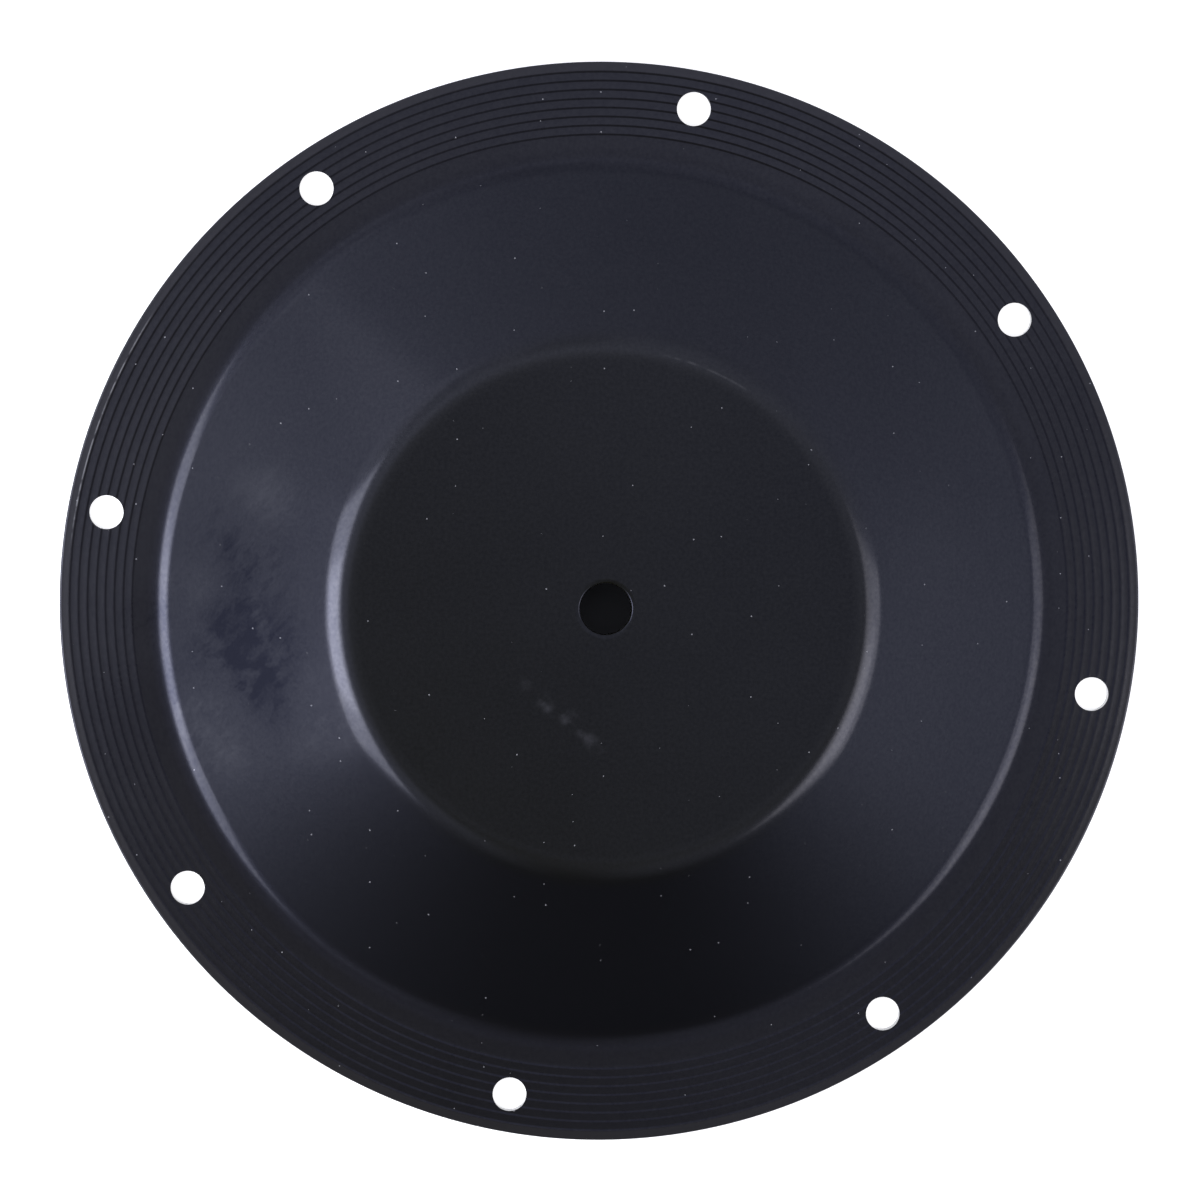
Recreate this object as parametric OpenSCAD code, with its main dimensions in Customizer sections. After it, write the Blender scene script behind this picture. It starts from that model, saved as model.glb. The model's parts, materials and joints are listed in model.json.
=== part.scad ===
// Pump diaphragm: a round sheet of rubber, moulded in one piece to the shape of a shallow hat.
// The flange is clamped between two pump chambers, and a stud with two plates holds the raised centre.
// The part lies on its flat flange with the raised centre up, on the Z axis.

/* [Sheet] */
// Thickness of the moulded sheet, the same in the flange, the wall and the centre
sheet_t = 4.8; // [2.5:0.1:7]

/* [Flange] */
// Outer diameter of the flange
flange_d = 355.6; // [320:0.1:420]
// Width of the flat flange, from the rim to the foot of the wall
flange_w = 31; // [26:0.1:40]
// Radius of the rounded corners round the rim
rim_edge_r = 0.5; // [0.1:0.1:1.5]

/* [Bolt holes] */
// Distance from the rim to the centre of each bolt hole
bolt_margin = 12.7; // [9:0.1:20]
// Diameter of each bolt hole
bolt_hole_d = 11.1; // [6:0.1:14]
// Number of bolt holes, evenly spaced
bolt_count = 8; // [4:1:16]
// Angle of the first bolt hole from +X
bolt_phase = 34.4; // [0:0.1:90]

/* [Sealing ribs] */
// Number of concentric ribs on top of the flange
rib_count = 8; // [1:1:9]
// Distance from the rim to the crest of the outermost rib
rib_margin = 3; // [2.6:0.1:5]
// Distance from one rib to the next
rib_pitch = 2.93; // [1.5:0.01:3.6]
// Width of the steeper flank of a rib, which faces the centre
rib_rise_w = 0.45; // [0.3:0.05:1.2]
// Width of the gentle flank of a rib, which faces the rim
rib_fall_w = 2.1; // [0.6:0.05:2.4]
// Height of a rib above the flange
rib_h = 0.1; // [0.05:0.01:0.5]

/* [Raised centre] */
// Height of the centre above the flange, from top face to top face
rise = 32; // [15:0.5:60]
// Diameter of the flat centre
crown_d = 164.9; // [60:0.1:190]
// Radius of the blend from the centre into the wall, on the top side
crown_blend_r = 18; // [8:0.5:30]
// Radius of the blend from the wall into the flange, on the top side
foot_blend_r = 11.5; // [2:0.5:30]

/* [Centre hole] */
// Diameter of the hole for the stud
centre_hole_d = 16.7; // [8:0.1:50]
// Radius of the rounded corners of the hole
centre_edge_r = 0.6; // [0.1:0.1:1.2]

/* [Hidden] */
$fn = 180;

// The foot of the wall and the bolt circle keep their distances from the rim
foot_d = flange_d - 2 * flange_w;
bolt_circle_d = flange_d - 2 * bolt_margin;

// The wall runs along the inner tangent of the two blend circles
blend_sum = crown_blend_r + foot_blend_r;
blend_run = (foot_d - crown_d) / 2;
blend_drop = blend_sum - rise;
blend_distance = norm([blend_run, blend_drop]);
wall_angle = asin(blend_sum / blend_distance) - atan2(blend_drop, blend_run);
wall_l = sqrt(pow(blend_distance, 2) - pow(blend_sum, 2));

// A tongue across each joint of the section, inside the sheet, makes its stretches overlap
tongue_l = 0.2;
tongue_t = sheet_t / 2;

// The flanks of a rib run on a little way into the flange
rib_root = 0.01;
rib_spread = 1 + rib_root / rib_h;
rib_outer_r = flange_d / 2 - rib_margin;

// Length by which a cutter stands clear of the face that it cuts
overshoot = 1;

rubber_colour = "#23232a";

// A straight stretch of the sheet. Its top face runs along +X from the origin.
module straight(l) {
    translate([0, -sheet_t]) square([l, sheet_t]);
}

// A straight stretch with rounded corners of the radius r at its far end.
module end_stretch(l, r) {
    difference() {
        straight(l);
        for (side = [0, 1])
            translate([l - r, -side * sheet_t]) mirror([0, side]) translate([0, -r])
                difference() {
                    square(r + overshoot);
                    circle(r);
                }
    }
}

// A tongue that reaches to both sides of the origin, along X.
module tongue() {
    translate([-tongue_l / 2, -(sheet_t + tongue_t) / 2]) square([tongue_l, tongue_t]);
}

// A bend of the sheet from the origin, about a centre on the Y axis. Children follow on at its end.
module bend(centre_y, angle) {
    inner_r = min(abs(centre_y), abs(centre_y + sheet_t));
    outer_r = inner_r + sheet_t;
    reach = outer_r + overshoot;
    tongue();
    translate([0, centre_y]) {
        intersection() {
            difference() {
                circle(outer_r);
                circle(inner_r);
            }
            translate([0, -reach]) square([reach, 2 * reach]);
            rotate(angle) translate([-reach, -reach]) square([reach, 2 * reach]);
        }
        rotate(angle) translate([0, -centre_y]) {
            tongue();
            children();
        }
    }
}

// Half of the section through the sheet, from the edge of the centre hole out to the rim.
module sheet_section() {
    translate([crown_d / 2, rise + sheet_t]) {
        mirror([1, 0]) end_stretch((crown_d - centre_hole_d) / 2, centre_edge_r);
        bend(-crown_blend_r, -wall_angle) {
            straight(wall_l);
            translate([wall_l, 0]) bend(foot_blend_r, wall_angle)
                end_stretch(flange_w, rim_edge_r);
        }
    }
}

// Section of one rib, a low saw tooth. Its crest stands over the origin.
module rib_section() {
    polygon([
        [-rib_rise_w * rib_spread, -rib_root],
        [rib_fall_w * rib_spread, -rib_root],
        [0, rib_h]
    ]);
}

// Sections of all the ribs, from the outermost inwards.
module rib_sections() {
    for (i = [0:rib_count - 1])
        translate([rib_outer_r - i * rib_pitch, sheet_t]) rib_section();
}

module bolt_holes() {
    for (i = [0:bolt_count - 1])
        rotate(bolt_phase + i * 360 / bolt_count)
            translate([bolt_circle_d / 2, 0, -overshoot])
                cylinder(d = bolt_hole_d, h = sheet_t + rib_h + 2 * overshoot);
}

module diaphragm() {
    color(rubber_colour)
        difference() {
            rotate_extrude() {
                sheet_section();
                rib_sections();
            }
            bolt_holes();
        }
}

diaphragm();
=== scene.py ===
"""A rubber pump diaphragm that lies on a white table with its raised centre up.

The sheet is drawn as a half section, stretch by stretch, and spun about the axis of the disc.
Its bolt holes are then drilled, and one procedural rubber dresses it.
Lengths are in metres, angles in degrees and colours linear.
"""

from __future__ import annotations

import json
import logging
import math
from dataclasses import dataclass
from enum import Enum
from typing import Any, Union

import bpy
from mathutils import Matrix, Vector

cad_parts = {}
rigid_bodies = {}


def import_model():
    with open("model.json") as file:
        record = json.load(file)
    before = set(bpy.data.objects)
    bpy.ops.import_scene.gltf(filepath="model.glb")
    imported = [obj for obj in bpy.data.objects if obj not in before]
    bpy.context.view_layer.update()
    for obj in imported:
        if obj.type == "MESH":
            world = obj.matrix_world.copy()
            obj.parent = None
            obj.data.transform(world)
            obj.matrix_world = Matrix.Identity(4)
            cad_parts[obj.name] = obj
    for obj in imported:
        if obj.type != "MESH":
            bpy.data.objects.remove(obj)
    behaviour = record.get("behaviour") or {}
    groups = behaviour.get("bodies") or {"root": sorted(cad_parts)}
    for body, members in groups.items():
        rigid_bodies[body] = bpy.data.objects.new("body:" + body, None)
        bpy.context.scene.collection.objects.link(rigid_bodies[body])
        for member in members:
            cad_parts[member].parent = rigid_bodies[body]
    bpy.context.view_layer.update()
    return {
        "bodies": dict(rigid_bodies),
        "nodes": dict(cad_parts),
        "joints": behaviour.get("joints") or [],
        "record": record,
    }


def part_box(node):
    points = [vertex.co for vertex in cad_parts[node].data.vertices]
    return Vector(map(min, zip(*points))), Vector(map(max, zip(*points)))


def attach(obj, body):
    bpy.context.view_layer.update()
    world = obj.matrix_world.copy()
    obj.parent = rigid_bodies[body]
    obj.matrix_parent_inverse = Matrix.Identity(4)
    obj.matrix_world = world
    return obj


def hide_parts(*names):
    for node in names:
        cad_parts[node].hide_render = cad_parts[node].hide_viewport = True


LOG = logging.getLogger("diaphragm")

MM = 0.001
BODY = "root"
CAD_NODE = "diaphragm"

Colour = tuple[float, float, float]
Point = tuple[float, float, float]
Value = Union["Wire", float, tuple]

COOL_LIGHT: Colour = (0.99, 0.99, 1.03)
WARM_LIGHT: Colour = (1.02, 0.98, 0.94)


class Graph:
    """The node tree of one material or of the world."""

    def __init__(self, tree: bpy.types.NodeTree) -> None:
        """Empties the tree.

        Args:
            tree: the node tree to fill.
        """
        self.tree = tree
        tree.nodes.clear()

    def node(
        self,
        kind: str,
        settings: dict[str, Any] | None = None,
        inputs: dict[str | int, Value] | None = None,
        output: str | int = 0,
    ) -> Wire:
        """Adds one node of any type.

        Args:
            kind: the node's type, without the ShaderNode in front.
            settings: the node's own properties, set before its sockets.
            inputs: a value or a wire for each input socket that is named or numbered.
            output: the output socket that is wanted.

        Returns:
            The wanted output.
        """
        node = self.tree.nodes.new("ShaderNode" + kind)
        for name, value in (settings or {}).items():
            setattr(node, name, value)
        for key, value in (inputs or {}).items():
            if isinstance(value, Wire):
                self.tree.links.new(value.socket, node.inputs[key])
            else:
                node.inputs[key].default_value = value
        return Wire(self, node.outputs[output] if node.outputs else None)

    def math(self, operation: str, a: Value, b: Value = 0.0) -> Wire:
        """Adds a Math node.

        Args:
            operation: the node's operation.
            a: the first value.
            b: the second value.

        Returns:
            The result.
        """
        return self.node("Math", {"operation": operation}, {0: a, 1: b})

    def fade(self, value: Wire, low: float, high: float) -> Wire:
        """Rises smoothly from 0 to 1.

        Args:
            value: the value that is followed.
            low: where the result is still 0.
            high: where the result reaches 1. It may lie below low.

        Returns:
            The result, from 0 to 1.
        """
        ends = {"Value": value, "From Min": low, "From Max": high}
        return self.node("MapRange", {"interpolation_type": "SMOOTHSTEP"}, ends)

    def blend(self, mask: Value, a: Value, b: Value) -> Wire:
        """Mixes two colours.

        Args:
            mask: 0 for the first colour, 1 for the second.
            a: the first colour.
            b: the second colour.

        Returns:
            The mixed colour.
        """
        a, b = (c if isinstance(c, Wire) else (*c, 1.0) for c in (a, b))
        return self.node("Mix", {"data_type": "RGBA"}, {0: mask, 6: a, 7: b}, output=2)


@dataclass(frozen=True)
class Wire:
    """An output socket. Arithmetic on it adds Math nodes."""

    graph: Graph
    socket: bpy.types.NodeSocket | None

    def out(self, name: str) -> Wire:
        """Another output of the same node."""
        return Wire(self.graph, self.socket.node.outputs[name])

    def __add__(self, other: Value) -> Wire:
        """This value plus another."""
        return self.graph.math("ADD", self, other)

    def __radd__(self, other: Value) -> Wire:
        """Another value plus this."""
        return self.graph.math("ADD", other, self)

    def __sub__(self, other: Value) -> Wire:
        """This value less another."""
        return self.graph.math("SUBTRACT", self, other)

    def __rsub__(self, other: Value) -> Wire:
        """Another value less this."""
        return self.graph.math("SUBTRACT", other, self)

    def __mul__(self, other: Value) -> Wire:
        """This value times another."""
        return self.graph.math("MULTIPLY", self, other)

    def __rmul__(self, other: Value) -> Wire:
        """Another value times this."""
        return self.graph.math("MULTIPLY", other, self)

    def __rpow__(self, other: Value) -> Wire:
        """Another value to the power of this."""
        return self.graph.math("POWER", other, self)


class SectionPen:
    """Draws the half section of a round part in the XZ plane, as one line of edges."""

    def __init__(self, name: str, start: Vector, heading: float) -> None:
        """Sets the pen down.

        Args:
            name: name of the piece that is drawn.
            start: where the line starts.
            heading: direction of the line, from +X towards +Z.
        """
        bpy.ops.object.select_all(action="DESELECT")
        bpy.ops.mesh.primitive_plane_add(size=1 * MM)
        self.piece = bpy.context.object
        self.piece.name = name
        self.piece.data.name = name
        self.at = start.copy()
        self.heading = heading
        bpy.ops.object.mode_set(mode="EDIT")
        bpy.ops.mesh.merge(type="CENTER")
        bpy.ops.transform.translate(value=start)

    def ahead(self, length: float, parts: int = 1) -> None:
        """Draws straight on.

        Args:
            length: length of the stretch.
            parts: number of equal edges in it.
        """
        angle = math.radians(self.heading)
        step = Vector((math.cos(angle), 0.0, math.sin(angle))) * (length / parts)
        for _ in range(parts):
            bpy.ops.mesh.extrude_region_move(TRANSFORM_OT_translate={"value": step})
            self.at += step

    def turn(self, radius: float, angle: float, steps: int) -> None:
        """Draws a bend.

        Args:
            radius: radius of the bend.
            angle: how far the line turns, positive from +X towards +Z.
            steps: number of edges in the bend.
        """
        side = math.radians(self.heading + math.copysign(90.0, angle))
        centre = self.at + Vector((math.cos(side), 0.0, math.sin(side))) * radius
        bpy.ops.mesh.spin(steps=steps, angle=math.radians(angle), center=centre, axis=(0, 1, 0))
        arm = Matrix.Rotation(math.radians(-angle), 3, "Y") @ (self.at - centre)
        self.at = centre + arm
        self.heading += angle

    def revolve(self, steps: int) -> bpy.types.Object:
        """Closes the section and spins it about Z.

        Args:
            steps: number of faces round the piece.

        Returns:
            The closed piece.
        """
        weld = 0.002 * MM
        bpy.ops.mesh.select_all(action="SELECT")
        bpy.ops.mesh.remove_doubles(threshold=weld)
        bpy.ops.mesh.spin(steps=steps, angle=math.tau, center=(0, 0, 0), axis=(0, 0, 1))
        bpy.ops.mesh.select_all(action="SELECT")
        bpy.ops.mesh.remove_doubles(threshold=weld)
        bpy.ops.mesh.normals_make_consistent(inside=False)
        bpy.ops.object.mode_set(mode="OBJECT")
        return self.piece


@dataclass(frozen=True)
class Grain:
    """A noise over the rubber, and the part of its range from which a mask rises."""

    scale: float
    detail: float
    start: float = 0.0
    full: float = 1.0

    def value(self, g: Graph, at: Wire) -> Wire:
        """Adds the noise.

        Args:
            g: the material's nodes.
            at: the place that is looked up.

        Returns:
            The noise, about 0.5 on average.
        """
        inputs = {"Vector": at, "Scale": self.scale, "Detail": self.detail}
        return g.node("TexNoise", {}, inputs)

    def swing(self, g: Graph, at: Wire) -> Wire:
        """The noise, about 0 on average."""
        return self.value(g, at) - 0.5

    def mask(self, g: Graph, at: Wire) -> Wire:
        """The noise as a mask from 0 to 1."""
        return g.fade(self.value(g, at), self.start, self.full)


@dataclass(frozen=True)
class Band:
    """Where a zone of the rubber starts and is full, from the radius that bounds it."""

    start: float
    full: float

    def mask(self, g: Graph, radius: Wire, about: float) -> Wire:
        """Where the zone is.

        Args:
            g: the material's nodes.
            radius: the distance from the axis.
            about: the radius that bounds the zone.

        Returns:
            0 outside the zone, 1 inside.
        """
        return g.fade(radius, about + self.start, about + self.full)


@dataclass(frozen=True)
class FilmPatch:
    """A place where the pale film on the rubber is thicker, or is rubbed off."""

    place: tuple[float, float]
    reach: float
    change: float
    broken: bool = False
    core: float = 0.15

    def mask(self, g: Graph, flat: Wire) -> Wire:
        """Where the patch is.

        Args:
            g: the material's nodes.
            flat: the place on the disc, seen along the axis.

        Returns:
            0 beyond the patch's reach, 1 in its core.
        """
        ends = {0: flat, 1: (*self.place, 0.0)}
        away = g.node("VectorMath", {"operation": "DISTANCE"}, ends, output="Value")
        return g.fade(away, self.reach, self.core * self.reach)


@dataclass(frozen=True)
class FilmTexture:
    """How uneven the film is everywhere, and how strokes and clouds break up some patches."""

    mottle: Grain = Grain(scale=16.0, detail=9.0)
    mottle_change: float = 0.30
    speckle: Grain = Grain(scale=900.0, detail=3.0)
    speckle_change: float = 0.60
    strokes: Grain = Grain(scale=330.0, detail=5.0, start=0.46, full=0.62)
    stroke_turn: float = -40.0
    stroke_squeeze: float = 0.2
    stroke_share: float = 0.55
    clouds: Grain = Grain(scale=60.0, detail=10.0, start=0.42, full=0.58)
    cloud_share: float = 0.60
    even_share: float = 0.10

    def change(self, g: Graph, at: Wire) -> Wire:
        """How uneven the film is.

        Args:
            g: the material's nodes.
            at: the place on the disc.

        Returns:
            What is added to the weight of the film.
        """
        mottle = self.mottle_change * self.mottle.swing(g, at)
        return mottle + self.speckle_change * self.speckle.swing(g, at)

    def broken(self, g: Graph, at: Wire) -> Wire:
        """How a broken patch is broken up.

        Args:
            g: the material's nodes.
            at: the place on the disc.

        Returns:
            What the patch is multiplied by.
        """
        turned = {"Vector": at, "Angle": math.radians(self.stroke_turn)}
        along = g.node("VectorRotate", {"rotation_type": "Z_AXIS"}, turned)
        squeeze = {0: along, 1: (self.stroke_squeeze, 1.0, 1.0)}
        drawn = g.node("VectorMath", {"operation": "MULTIPLY"}, squeeze)
        clouds = self.cloud_share * self.clouds.mask(g, at)
        return self.even_share + clouds + self.stroke_share * self.strokes.mask(g, drawn)


@dataclass(frozen=True)
class Scuff:
    """A pale mark across the flat centre, from one end to the other."""

    start: tuple[float, float] = (-29.0 * MM, -22.0 * MM)
    end: tuple[float, float] = (-0.5 * MM, -48.5 * MM)
    width: float = 3.6 * MM
    wander: Grain = Grain(scale=45.0, detail=4.0)
    wander_w: float = 16 * MM
    onset_l: float = 8 * MM
    full_share: float = 0.9
    grain: Grain = Grain(scale=200.0, detail=9.0, start=0.38, full=0.78)

    def mask(self, g: Graph, flat: Wire) -> Wire:
        """Where the scuff is.

        Args:
            g: the material's nodes.
            flat: the place on the disc, seen along the axis.

        Returns:
            0 on clean rubber, up to 1 in the scuff.
        """
        start, end = Vector((*self.start, 0.0)), Vector((*self.end, 0.0))
        length = (end - start).length
        way = (end - start).normalized()
        side = Vector((-way.y, way.x, 0.0))
        offset = g.node("VectorMath", {"operation": "SUBTRACT"}, {0: flat, 1: start})
        dot = {"operation": "DOT_PRODUCT"}
        along = g.node("VectorMath", dot, {0: offset, 1: way}, output="Value")
        across = g.node("VectorMath", dot, {0: offset, 1: side}, output="Value")
        across = across + self.wander_w * self.wander.swing(g, flat)
        strip = g.fade(g.math("ABSOLUTE", across), self.width, 0.0)
        ends = g.fade(along, 0.0, self.onset_l) * g.fade(along, length, self.full_share * length)
        return strip * ends * self.grain.mask(g, flat)


@dataclass(frozen=True)
class PaintedEdgeHighlight:
    """A short stretch of a round edge with a painted highlight: a pale line painted where light
    glints on the edge.
    """

    radius: float
    azimuth: float
    spread: float
    width: float
    shade: float
    full_share: float = 0.6

    def mask(self, g: Graph, way: Wire, radius: Wire) -> Wire:
        """Where the painted highlight lies on the edge.

        Args:
            g: the material's nodes.
            way: the direction from the axis.
            radius: the distance from the axis.

        Returns:
            0 elsewhere, up to the edge's shade in the middle of the stretch.
        """
        azimuth, spread = math.radians(self.azimuth), math.radians(self.spread)
        middle = {0: way, 1: (math.cos(azimuth), math.sin(azimuth), 0.0)}
        cosine = g.node("VectorMath", {"operation": "DOT_PRODUCT"}, middle, output="Value")
        stretch = g.fade(cosine, math.cos(spread), math.cos(self.full_share * spread))
        line = g.fade(g.math("ABSOLUTE", radius - self.radius), self.width, 0.0)
        return self.shade * line * stretch


@dataclass(frozen=True)
class Dust:
    """Specks of dust, at most one in each cell of a grid. Only the luckier cells hold one."""

    cells: float = 105.0
    size: float = 0.24 * MM
    luck: float = 0.72

    def mask(self, g: Graph, flat: Wire) -> Wire:
        """Where the specks are.

        Args:
            g: the material's nodes.
            flat: the place on the disc, seen along the axis.

        Returns:
            0 on clean rubber, 1 on a speck.
        """
        grid = {"Vector": flat, "Scale": self.cells}
        cell = g.node("TexVoronoi", {"voronoi_dimensions": "2D"}, grid, output="Distance")
        chance = g.node("SeparateColor", {}, {0: cell.out("Color")}, output="Red")
        size = self.size * self.cells * g.fade(chance, self.luck, 1.0)
        return g.math("LESS_THAN", cell, size)


@dataclass(frozen=True)
class RibRow:
    """The row of ribs on the flange, from the outermost crest inwards."""

    crest_r: float
    pitch: float
    rise_w: float
    count: int
    flank_start: float = 0.75
    flank_full: float = 0.35

    def flank_mask(self, g: Graph, radius: Wire) -> Wire:
        """Where the steeper flanks of the ribs are.

        Args:
            g: the material's nodes.
            radius: the distance from the axis.

        Returns:
            0 elsewhere, 1 in the middle of a flank.
        """
        inwards = self.crest_r - radius
        across = g.math("MODULO", inwards, self.pitch) - 0.5 * self.rise_w
        start, full = self.flank_start * self.rise_w, self.flank_full * self.rise_w
        flank = g.fade(g.math("ABSOLUTE", across), start, full)
        row = g.math("GREATER_THAN", inwards, -0.5 * self.rise_w)
        return flank * row * g.math("LESS_THAN", inwards, (self.count - 0.5) * self.pitch)


@dataclass(frozen=True)
class RubberFinish:
    """Moulded black rubber with a satin skin, a thin pale film, some wear, some dust and painted
    highlights on two edges.
    """

    centre: Colour = (0.0052, 0.0051, 0.0028)
    wall: Colour = (0.0046, 0.0047, 0.0054)
    flange: Colour = (0.0064, 0.0060, 0.0058)
    rim: Colour = (0.0150, 0.0142, 0.0136)
    worn: Colour = (0.0260, 0.0260, 0.0270)
    # Colour of the painted highlights on two edges.
    edge: Colour = (0.1600, 0.1600, 0.1650)
    dust: Colour = (0.2200, 0.2200, 0.2300)
    sheen: Colour = (0.55, 0.60, 1.0)
    wall_band: Band = Band(0.0, 10 * MM)
    flange_band: Band = Band(-8 * MM, 2 * MM)
    rim_band: Band = Band(-0.5 * MM, 0.5 * MM)
    dusty_band: Band = Band(2.4 * MM, 2.0 * MM)
    centre_skin: Band = Band(2 * MM, -3 * MM)
    foot_skin: tuple[Band, Band] = (Band(-6 * MM, -4 * MM), Band(4 * MM, 0.0))
    flange_skin: Band = Band(0.0, 3 * MM)
    roughness: float = 0.19
    centre_roughness: float = 0.13
    foot_roughness: float = 0.23
    flange_roughness: float = 0.11
    ior: float = 1.36
    film: float = 0.525
    film_centre: float = 0.225
    film_foot: float = 0.36
    film_flange: float = 0.465
    film_flank: float = 0.13
    film_least: float = 0.02
    film_roughness: float = 0.15
    cloud: Grain = Grain(scale=24.0, detail=4.0)
    cloud_roughness: float = 0.06
    grain: Grain = Grain(scale=700.0, detail=2.0)
    grain_roughness: float = 0.05
    grain_h: float = 0.002 * MM
    swell: Grain = Grain(scale=30.0, detail=2.0)
    swell_h: float = 0.05 * MM
    texture: FilmTexture = FilmTexture()
    patches: tuple[FilmPatch, ...] = (
        FilmPatch((-116 * MM, -12 * MM), 25 * MM, -0.54, broken=True),
        FilmPatch((-111 * MM, -32 * MM), 20 * MM, -0.46, broken=True),
        FilmPatch((-119 * MM, 16 * MM), 26 * MM, -0.40, broken=True),
        FilmPatch((-121 * MM, -17 * MM), 5 * MM, -0.20),
        FilmPatch((-115 * MM, -12 * MM), 6 * MM, -0.20),
        FilmPatch((-149 * MM, -3 * MM), 14 * MM, -0.24, broken=True),
        FilmPatch((-148 * MM, -36 * MM), 30 * MM, -0.20),
        FilmPatch((-111 * MM, 34 * MM), 17 * MM, 0.46, broken=True),
        FilmPatch((-131 * MM, 9 * MM), 16 * MM, 0.36, broken=True),
        FilmPatch((-138 * MM, 55 * MM), 46 * MM, 0.12),
        FilmPatch((-126 * MM, -40 * MM), 25 * MM, 0.44, broken=True),
        FilmPatch((-94 * MM, -36 * MM), 24 * MM, 0.24, broken=True),
    )
    scuff: Scuff = Scuff()
    # Painted highlights: pale lines painted on the outermost rib at the upper left and on the
    # crown's edge at the upper right, where light glints.
    edges: tuple[PaintedEdgeHighlight, ...] = (
        PaintedEdgeHighlight(radius=175.1 * MM, azimuth=160.0, spread=14.0, width=0.35 * MM, shade=1.0),
        PaintedEdgeHighlight(radius=84.2 * MM, azimuth=67.0, spread=11.0, width=0.6 * MM, shade=0.14),
    )
    edge_highlight_grain: Grain = Grain(scale=240.0, detail=4.0, start=0.34, full=0.60)
    specks: Dust = Dust()

    def material(self, crown_r: float, foot_r: float, ribs: RibRow) -> bpy.types.Material:
        """Makes the material.

        Args:
            crown_r: radius of the flat centre.
            foot_r: radius at which the wall meets the flange.
            ribs: the ribs on the flange.

        Returns:
            The material.
        """
        material = bpy.data.materials.new("black_rubber")
        material.use_nodes = True
        g = Graph(material.node_tree)
        at = g.node("TexCoord", output="Object")
        flat = g.node("VectorMath", {"operation": "MULTIPLY"}, {0: at, 1: (1.0, 1.0, 0.0)})
        radius = g.node("VectorMath", {"operation": "LENGTH"}, {0: flat}, output="Value")

        colour = g.blend(self.wall_band.mask(g, radius, crown_r), self.centre, self.wall)
        colour = g.blend(self.flange_band.mask(g, radius, foot_r), colour, self.flange)
        colour = g.blend(self.rim_band.mask(g, radius, ribs.crest_r), colour, self.rim)
        colour = g.blend(self.scuff.mask(g, flat), colour, self.worn)
        # Painted highlights along two edges.
        colour = g.blend(self.edge_highlight_mask(g, flat, radius), colour, self.edge)
        specks = self.specks.mask(g, flat) * self.dusty_band.mask(g, radius, ribs.crest_r)
        colour = g.blend(specks, colour, self.dust)

        centre = self.centre_skin.mask(g, radius, crown_r)
        foot_in, foot_out = (band.mask(g, radius, foot_r) for band in self.foot_skin)
        foot = foot_in * foot_out
        flange = self.flange_skin.mask(g, radius, foot_r)
        film = self.film + (self.film_centre - self.film) * centre
        film = film + (self.film_foot - self.film) * foot + (self.film_flange - self.film) * flange
        film = film + self.film_change(g, at, flat)
        film = film + (self.film_flank - self.film_flange) * ribs.flank_mask(g, radius)
        film = g.math("MAXIMUM", film, self.film_least)

        grain = self.grain.value(g, at)
        roughness = self.roughness + (self.flange_roughness - self.roughness) * flange
        roughness = roughness + (self.foot_roughness - self.roughness) * foot
        roughness = roughness + (self.centre_roughness - self.roughness) * centre
        roughness = roughness + self.cloud_roughness * self.cloud.swing(g, at)
        roughness = roughness + self.grain_roughness * (grain - 0.5)
        height = self.swell_h * self.swell.value(g, at) + self.grain_h * grain
        normal = g.node("Bump", {}, {"Strength": 1.0, "Distance": 1.0, "Height": height}, "Normal")
        skin = {
            "Base Color": colour,
            "Roughness": roughness,
            "IOR": self.ior,
            "Specular Tint": (*self.sheen, 1.0),
            "Coat Weight": film,
            "Coat Roughness": self.film_roughness,
            "Normal": normal,
        }
        shader = g.node("BsdfPrincipled", {}, skin)
        g.node("OutputMaterial", {}, {"Surface": shader})
        return material

    def film_change(self, g: Graph, at: Wire, flat: Wire) -> Wire:
        """Where the pale film is thicker or thinner than usual.

        Args:
            g: the material's nodes.
            at: the place on the disc.
            flat: the same place, seen along the axis.

        Returns:
            What is added to the weight of the film.
        """
        change = self.texture.change(g, at)
        broken = self.texture.broken(g, at)
        for patch in self.patches:
            mask = patch.mask(g, flat)
            if patch.broken:
                mask = mask * broken
            change = change + patch.change * mask
        return change

    def edge_highlight_mask(self, g: Graph, flat: Wire, radius: Wire) -> Wire:
        """Where the painted edge highlights are.

        Args:
            g: the material's nodes.
            flat: the place on the disc, seen along the axis.
            radius: the distance from the axis.

        Returns:
            0 elsewhere, up to 1 on a painted edge highlight.
        """
        way = g.node("VectorMath", {"operation": "NORMALIZE"}, {0: flat})
        mask = 0.0
        for edge in self.edges:
            mask = mask + edge.mask(g, way, radius)
        return mask * self.edge_highlight_grain.mask(g, flat)


class Way(Enum):
    """The way in which the pen follows the sheet: outwards on top, inwards underneath."""

    OUT = 1
    IN = -1


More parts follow.
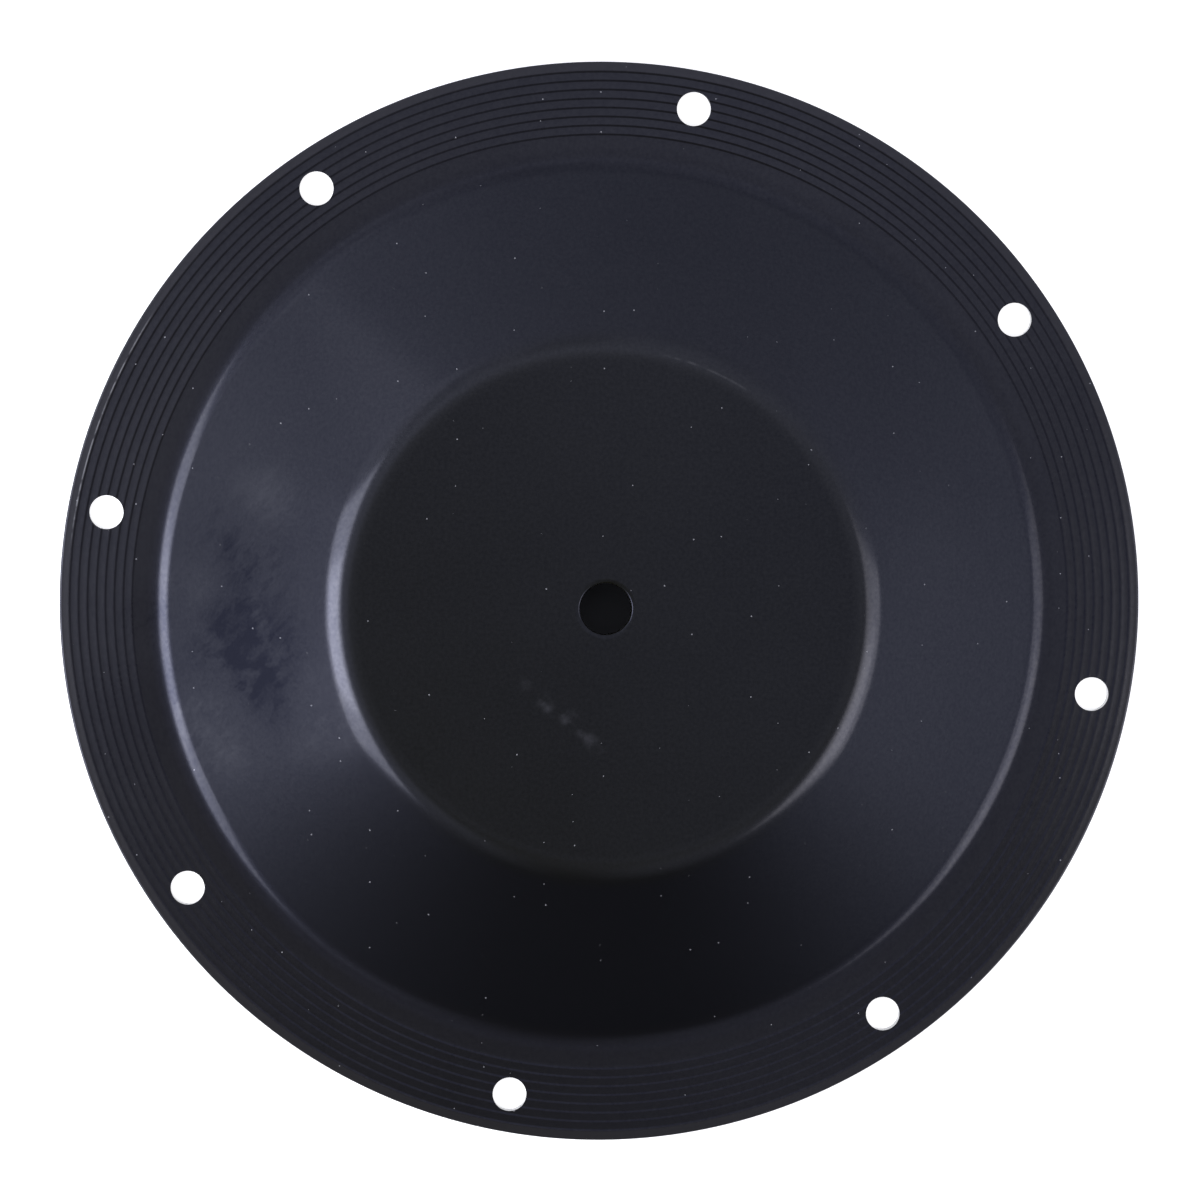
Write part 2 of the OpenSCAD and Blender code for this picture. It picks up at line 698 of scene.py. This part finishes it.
@dataclass
class Diaphragm:
    """The moulded disc: flat centre, sloping wall and ribbed flange in one sheet of rubber."""

    outer_r: float
    top_z: float
    sheet_t: float
    stud_hole_r: float
    bolt_hole_r: float
    bolt_circle_r: float
    bolt_count: int
    finish: RubberFinish
    bolt_phase: float = 34.4
    flange_w: float = 31.0 * MM
    rim_edge_r: float = 0.5 * MM
    crown_r: float = 82.45 * MM
    crown_blend_r: float = 18.0 * MM
    foot_blend_r: float = 11.5 * MM
    stud_edge_r: float = 0.6 * MM
    rib_count: int = 8
    rib_margin: float = 3.0 * MM
    rib_pitch: float = 2.93 * MM
    rib_rise_w: float = 0.60 * MM
    rib_lip_w: float = 0.60 * MM
    rib_fall_w: float = 2.2 * MM
    rib_h: float = 0.105 * MM
    rib_lip_h: float = 0.037 * MM
    rib_round_r: float = 0.25 * MM
    support_l: float = 1.0 * MM
    blend_steps: int = 10
    corner_steps: int = 5
    rib_steps: int = 2
    wall_parts: int = 6
    flange_parts: int = 2
    rib_parts: int = 2
    steps_round: int = 288
    hole_steps: int = 72
    smooth_angle: float = 35.0

    @classmethod
    def from_frame(cls, frame: dict[str, Any], finish: RubberFinish) -> Diaphragm:
        """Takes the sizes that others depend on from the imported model.

        Args:
            finish: the rubber.

        Returns:
            The disc, not built yet.
        """
        mounts = {mount["name"]: mount for mount in frame["record"]["mounts"]}
        bolts = mounts["flange_bolts"]["dims"]
        _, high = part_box(CAD_NODE)
        return cls(
            outer_r=high[0],
            top_z=high[2],
            sheet_t=mounts["crown_top"]["pos_m"][2] - mounts["crown_underside"]["pos_m"][2],
            stud_hole_r=mounts["stud_hole"]["dims"]["r_mm"] * MM,
            bolt_hole_r=bolts["hole_r_mm"] * MM,
            bolt_circle_r=bolts["pcd_mm"] / 2 * MM,
            bolt_count=bolts["count"],
            finish=finish,
        )

    @property
    def foot_r(self) -> float:
        """Radius at which the wall meets the flat flange."""
        return self.outer_r - self.flange_w

    @property
    def wall(self) -> tuple[float, float]:
        """Slope and length of the straight wall, along the inner tangent of the two blends."""
        blends = self.crown_blend_r + self.foot_blend_r
        run = self.foot_r - self.crown_r
        drop = blends - (self.top_z - self.sheet_t)
        slope = math.asin(blends / math.hypot(run, drop)) - math.atan2(drop, run)
        return math.degrees(slope), math.sqrt(run**2 + drop**2 - blends**2)

    def build(self) -> bpy.types.Object:
        """Models the disc.

        Returns:
            The finished mesh, dressed.
        """
        middle = Vector((self.stud_hole_r, 0.0, self.top_z - self.sheet_t / 2))
        pen = SectionPen("rubber_disc", middle, heading=90.0)
        straight = self.sheet_t / 2 - self.stud_edge_r
        pen.ahead(straight)
        pen.turn(self.stud_edge_r, -90.0, self.corner_steps)
        self.draw_hat(pen, Way.OUT)
        self.draw_ribs(pen)
        pen.turn(self.rim_edge_r, -90.0, self.corner_steps)
        pen.ahead(self.sheet_t - 2 * self.rim_edge_r)
        pen.turn(self.rim_edge_r, -90.0, self.corner_steps)
        pen.ahead(self.flange_w - self.rim_edge_r - self.support_l)
        pen.ahead(self.support_l)
        self.draw_hat(pen, Way.IN)
        pen.turn(self.stud_edge_r, -90.0, self.corner_steps)
        pen.ahead(straight)
        disc = pen.revolve(self.steps_round)
        self.drill(disc)
        self.dress(disc)
        return disc

    def draw_flat(self, pen: SectionPen, length: float, parts: int = 1) -> None:
        """Draws a flat stretch. A narrow face at each end keeps it flat beside a blend.

        Args:
            pen: the pen, at the start of the stretch.
            length: length of the whole stretch.
            parts: number of edges between the narrow ones.
        """
        pen.ahead(self.support_l)
        pen.ahead(length - 2 * self.support_l, parts)
        pen.ahead(self.support_l)

    def draw_hat(self, pen: SectionPen, way: Way) -> None:
        """Draws the flat centre, the wall and their blends, on one face of the sheet.

        Args:
            pen: the pen, at the first flat's start.
            way: outwards on top of the sheet, or inwards under it.
        """
        slope, wall_l = self.wall
        under = self.sheet_t if way is Way.IN else 0.0
        crown = self.crown_r - self.stud_hole_r - self.stud_edge_r
        blends = [
            (self.crown_blend_r - under, -slope * way.value),
            (self.foot_blend_r + under, slope * way.value),
        ]
        if way is Way.IN:
            blends.reverse()
        else:
            self.draw_flat(pen, crown, self.wall_parts)
        pen.turn(*blends[0], self.blend_steps)
        self.draw_flat(pen, wall_l, self.wall_parts)
        pen.turn(*blends[1], self.blend_steps)
        if way is Way.IN:
            self.draw_flat(pen, crown, self.wall_parts)

    def draw_ribs(self, pen: SectionPen) -> None:
        """Draws the top of the flange, from the foot of the wall to the rim.

        Args:
            pen: the pen, at the foot of the wall.
        """
        rest_w, rest_h = self.rib_fall_w - self.rib_lip_w, self.rib_h - self.rib_lip_h
        rise = math.degrees(math.atan2(self.rib_h, self.rib_rise_w))
        lip = math.degrees(math.atan2(self.rib_lip_h, self.rib_lip_w))
        rest = math.degrees(math.atan2(rest_h, rest_w))
        foot, crest = (
            self.rib_round_r * math.tan(math.radians(turn) / 2) for turn in (rise, rise + lip)
        )
        plain = self.flange_w - self.rib_margin - (self.rib_count - 1) * self.rib_pitch
        self.draw_flat(pen, plain - self.rib_rise_w - foot, self.flange_parts)
        for rib in range(self.rib_count):
            if rib:
                pen.ahead(self.rib_pitch - self.rib_rise_w - self.rib_fall_w - foot)
            pen.turn(self.rib_round_r, rise, self.rib_steps)
            pen.ahead(math.hypot(self.rib_rise_w, self.rib_h) - foot - crest)
            pen.turn(self.rib_round_r, -rise - lip, self.rib_steps)
            pen.ahead(math.hypot(self.rib_lip_w, self.rib_lip_h) - crest)
            pen.heading += lip - rest
            pen.ahead(math.hypot(rest_w, rest_h), self.rib_parts)
            pen.heading += rest
        pen.ahead(self.rib_margin - self.rib_fall_w - self.rim_edge_r)

    def drill(self, disc: bpy.types.Object) -> None:
        """Cuts the bolt holes through the flange.

        Args:
            disc: the spun disc.
        """
        bpy.ops.object.select_all(action="DESELECT")
        drills = []
        for number in range(self.bolt_count):
            angle = math.radians(self.bolt_phase + number * 360.0 / self.bolt_count)
            place = Vector((math.cos(angle), math.sin(angle), 0.0)) * self.bolt_circle_r
            bpy.ops.mesh.primitive_cylinder_add(
                vertices=self.hole_steps,
                radius=self.bolt_hole_r,
                depth=6 * self.sheet_t,
                location=place,
            )
            drills.append(bpy.context.object)
        for drill in drills:
            drill.select_set(True)
        bpy.ops.object.join()
        cutter = bpy.context.object
        bpy.context.view_layer.objects.active = disc
        holes = disc.modifiers.new("bolt_holes", "BOOLEAN")
        holes.operation = "DIFFERENCE"
        holes.solver = "EXACT"
        holes.object = cutter
        bpy.ops.object.modifier_apply(modifier=holes.name)
        bpy.data.objects.remove(cutter)

    def dress(self, disc: bpy.types.Object) -> None:
        """Smooths the disc and gives it its rubber.

        Args:
            disc: the drilled disc.
        """
        bpy.ops.object.select_all(action="DESELECT")
        disc.select_set(True)
        bpy.context.view_layer.objects.active = disc
        bpy.ops.object.shade_smooth_by_angle(angle=math.radians(self.smooth_angle))
        disc.data.materials.clear()
        crest_r = self.outer_r - self.rib_margin
        ribs = RibRow(crest_r, self.rib_pitch, self.rib_rise_w, self.rib_count)
        disc.data.materials.append(self.finish.material(self.crown_r, self.foot_r, ribs))


@dataclass(frozen=True)
class Table:
    """The white table under the disc. Inside the hollow of the disc its colour is darkened, a
    painted shade under the raised centre.
    """

    covered_r: float
    size: float = 30.0
    drop: float = 0.1 * MM
    colour: Colour = (0.8, 0.8, 0.8)
    # Colour of the painted shade under the hollow of the disc.
    painted_shade: Colour = (0.2, 0.2, 0.2)
    covered_share: float = 0.8
    glow: float = 0.80

    def build(self, under: float) -> bpy.types.Object:
        """Makes the table.

        Args:
            under: height of what lies on it.

        Returns:
            The table.
        """
        bpy.ops.object.select_all(action="DESELECT")
        bpy.ops.mesh.primitive_plane_add(size=self.size, location=(0, 0, under - self.drop))
        table = bpy.context.object
        table.name = "white_table"
        table.data.materials.append(self.material())
        return table

    def material(self) -> bpy.types.Material:
        """Makes a pale surface that shows as white, and still takes the disc's shadow. Under the
        disc's hollow it is painted dark, a painted shade.

        Returns:
            The material.
        """
        material = bpy.data.materials.new("white_table")
        material.use_nodes = True
        g = Graph(material.node_tree)
        path = g.node("LightPath", output="Is Camera Ray")
        seen = path + path.out("Is Glossy Ray") + path.out("Is Transmission Ray")
        at = g.node("TexCoord", output="Object")
        radius = g.node("VectorMath", {"operation": "LENGTH"}, {0: at}, output="Value")
        bare = g.fade(radius, self.covered_share * self.covered_r, self.covered_r)
        # Painted shade: under the disc's hollow the table is painted dark and loses its glow,
        # standing in for the shade under the raised centre.
        colour = g.blend(bare, self.painted_shade, self.colour)
        pale = g.node("BsdfDiffuse", {}, {"Color": colour})
        glow = g.node("Emission", {}, {"Color": (1, 1, 1, 1), "Strength": self.glow * bare})
        bright = g.node("AddShader", {}, {0: pale, 1: glow})
        surface = g.node("MixShader", {}, {0: seen, 1: pale, 2: bright})
        g.node("OutputMaterial", {}, {"Surface": surface})
        return material


@dataclass(frozen=True)
class TentPanel:
    """One pale panel of the light tent, brightest in the middle."""

    azimuth: float
    polar: float
    radiance: float
    focus: float

    @property
    def direction(self) -> Point:
        """Unit vector from the table to the middle of the panel."""
        azimuth, polar = math.radians(self.azimuth), math.radians(self.polar)
        out = math.sin(polar)
        return out * math.cos(azimuth), out * math.sin(azimuth), math.cos(polar)

    def strength(self, g: Graph, way: Wire) -> Wire:
        """Radiance of the panel.

        Args:
            g: the world's nodes.
            way: the direction that is looked up.

        Returns:
            The radiance.
        """
        along = {0: way, 1: self.direction}
        cosine = g.node("VectorMath", {"operation": "DOT_PRODUCT"}, along, output="Value")
        return self.radiance * math.e ** (self.focus * (cosine - 1.0))


class Axis(Enum):
    """A level axis of the tent."""

    X = "X"
    Y = "Y"


@dataclass(frozen=True)
class RoofStep:
    """A change of the roof's light across the tent."""

    axis: Axis
    start: float
    end: float
    change: float


@dataclass(frozen=True)
class SoftBox:
    """A lamp behind the cloth of the tent. Its long side lies along Y, and it faces the disc."""

    name: str
    place: Point
    length: float
    width: float
    radiance: float
    colour: Colour = COOL_LIGHT

    def build(self, target: Vector) -> bpy.types.Object:
        """Makes the lamp.

        Args:
            target: the point that it faces.

        Returns:
            The lamp.
        """
        data = bpy.data.lights.new(self.name, "AREA")
        data.shape = "RECTANGLE"
        data.size = self.width
        data.size_y = self.length
        data.color = self.colour
        data.energy = math.pi * self.width * self.length * self.radiance
        lamp = bpy.data.objects.new(self.name, data)
        bpy.context.scene.collection.objects.link(lamp)
        lamp.matrix_world = facing(Vector(self.place), target)
        lamp.visible_camera = False
        return lamp


@dataclass(frozen=True)
class LightTent:
    """The light round the disc: soft boxes and a tent of pale cloth, open at the front."""

    cloth: Colour = (0.92, 0.95, 1.12)
    least: float = 0.02
    wall: float = 0.44
    wall_front: tuple[float, float] = (-1.06, -0.46)
    eaves: tuple[float, float] = (0.95, 0.65)
    panels: tuple[TentPanel, ...] = (
        TentPanel(azimuth=160.0, polar=90.0, radiance=0.50, focus=3.0),
        TentPanel(azimuth=203.0, polar=90.0, radiance=0.46, focus=20.0),
        TentPanel(azimuth=350.0, polar=90.0, radiance=0.35, focus=3.0),
    )
    roof: float = 0.07
    roof_steps: tuple[RoofStep, ...] = (
        RoofStep(Axis.Y, -0.155, -0.03, 0.33),
        RoofStep(Axis.X, -0.05, -0.15, 0.22),
        RoofStep(Axis.X, -0.02, 0.12, 0.25),
    )
    roof_patches: tuple[TentPanel, ...] = (
        TentPanel(azimuth=115.0, polar=12.0, radiance=0.30, focus=60.0),
        TentPanel(azimuth=228.0, polar=19.0, radiance=0.28, focus=70.0),
        TentPanel(azimuth=352.0, polar=19.0, radiance=-0.28, focus=90.0),
        TentPanel(azimuth=279.0, polar=4.5, radiance=-0.12, focus=2000.0),
    )
    horizon: float = 0.9
    horizon_top: float = 0.14
    soft_boxes: tuple[SoftBox, ...] = (
        SoftBox("left_soft_box", (-0.40, -0.065, 0.45), 0.22, 0.21, 8.5),
        SoftBox("left_soft_ends", (-0.40, -0.065, 0.45), 0.49, 0.31, 3.5),
        SoftBox("left_soft_glow", (-0.40, 0.120, 0.45), 0.76, 0.27, 0.28),
        SoftBox("right_soft_box", (0.405, -0.185, 0.545), 0.24, 0.19, 1.75, WARM_LIGHT),
        SoftBox("right_soft_ends", (0.668, -0.245, 0.900), 0.66, 0.594, 1.75, WARM_LIGHT),
    )

    def build(self, target: Vector) -> None:
        """Makes the lamps and the world.

        Args:
            target: the point that the lamps face.
        """
        for soft_box in self.soft_boxes:
            soft_box.build(target)
        world = bpy.data.worlds.new("light_tent")
        bpy.context.scene.world = world
        world.use_nodes = True
        g = Graph(world.node_tree)
        way = g.node("TexCoord", output="Generated")
        up = g.node("SeparateXYZ", {}, {0: way}, output="Z")
        flat = g.node("VectorMath", {"operation": "MULTIPLY"}, {0: way, 1: (1.0, 1.0, 0.0)})
        level = g.node("VectorMath", {"operation": "NORMALIZE"}, {0: flat})

        wall = self.wall
        for panel in self.panels:
            wall = wall + panel.strength(g, level)
        back = g.node("SeparateXYZ", {}, {0: level}, output="Y")
        wall = wall * g.fade(back, *self.wall_front)
        roof = self.roof
        for patch in self.roof_patches:
            roof = roof + patch.strength(g, way)
        for step in self.roof_steps:
            roof = roof + step.change * g.fade(up.out(step.axis.value), step.start, step.end)
        radiance = roof + g.fade(up, *self.eaves) * (wall - roof)
        radiance = g.math("MAXIMUM", radiance, self.least)
        radiance = radiance + self.horizon * g.fade(up, self.horizon_top, 0.0)
        cloth = g.node("Background", {}, {"Color": (*self.cloth, 1.0), "Strength": radiance})
        g.node("OutputWorld", {}, {"Surface": cloth})


@dataclass(frozen=True)
class PhotoCamera:
    """The camera, almost straight above the disc."""

    distance: float = 1.9
    lean: tuple[float, float] = (-0.0445, 0.0545)
    aim: tuple[float, float] = (-0.44 * MM, 1.17 * MM)
    lens_mm: float = 173.19
    sensor_mm: float = 36.0

    def build(self, height: float) -> bpy.types.Object:
        """Makes the camera and looks through it.

        Args:
            height: height of the plane that the distance is measured from.

        Returns:
            The camera.
        """
        data = bpy.data.cameras.new("camera")
        data.lens = self.lens_mm
        data.sensor_width = self.sensor_mm
        camera = bpy.data.objects.new("camera", data)
        bpy.context.scene.collection.objects.link(camera)
        target = Vector((*self.aim, height))
        away = Vector((*self.lean, math.sqrt(1.0 - self.lean[0] ** 2 - self.lean[1] ** 2)))
        camera.matrix_world = facing(target + away * self.distance, target)
        bpy.context.scene.camera = camera
        return camera


def facing(place: Vector, target: Vector) -> Matrix:
    """Places something that looks down its own Z axis, with its Y axis along the world's.

    Args:
        place: where it stands.
        target: the point that it looks at.

    Returns:
        Its matrix.
    """
    back = (place - target).normalized()
    right = Vector((0.0, 1.0, 0.0)).cross(back).normalized()
    turn = Matrix((right, back.cross(right), back)).transposed()
    return Matrix.Translation(place) @ turn.to_4x4()


def main() -> None:
    """Builds the disc, its table, its light and its camera."""
    logging.basicConfig(level=logging.INFO, format="%(message)s")
    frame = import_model()

    disc = Diaphragm.from_frame(frame, RubberFinish())
    piece = disc.build()
    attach(piece, BODY)
    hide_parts(CAD_NODE)
    LOG.info("%s: %d faces", piece.name, len(piece.data.polygons))

    low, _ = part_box(CAD_NODE)
    table = Table(covered_r=disc.foot_r).build(under=low[2])
    LOG.info("%s: %.0f m wide", table.name, table.dimensions.x)

    LightTent().build(target=Vector((0.0, 0.0, disc.sheet_t)))
    camera = PhotoCamera().build(height=disc.sheet_t)
    LOG.info("%s: %.2f m up", camera.name, camera.location.z)

    bpy.context.scene.view_settings.view_transform = "Standard"


if __name__ == "__main__":
    main()
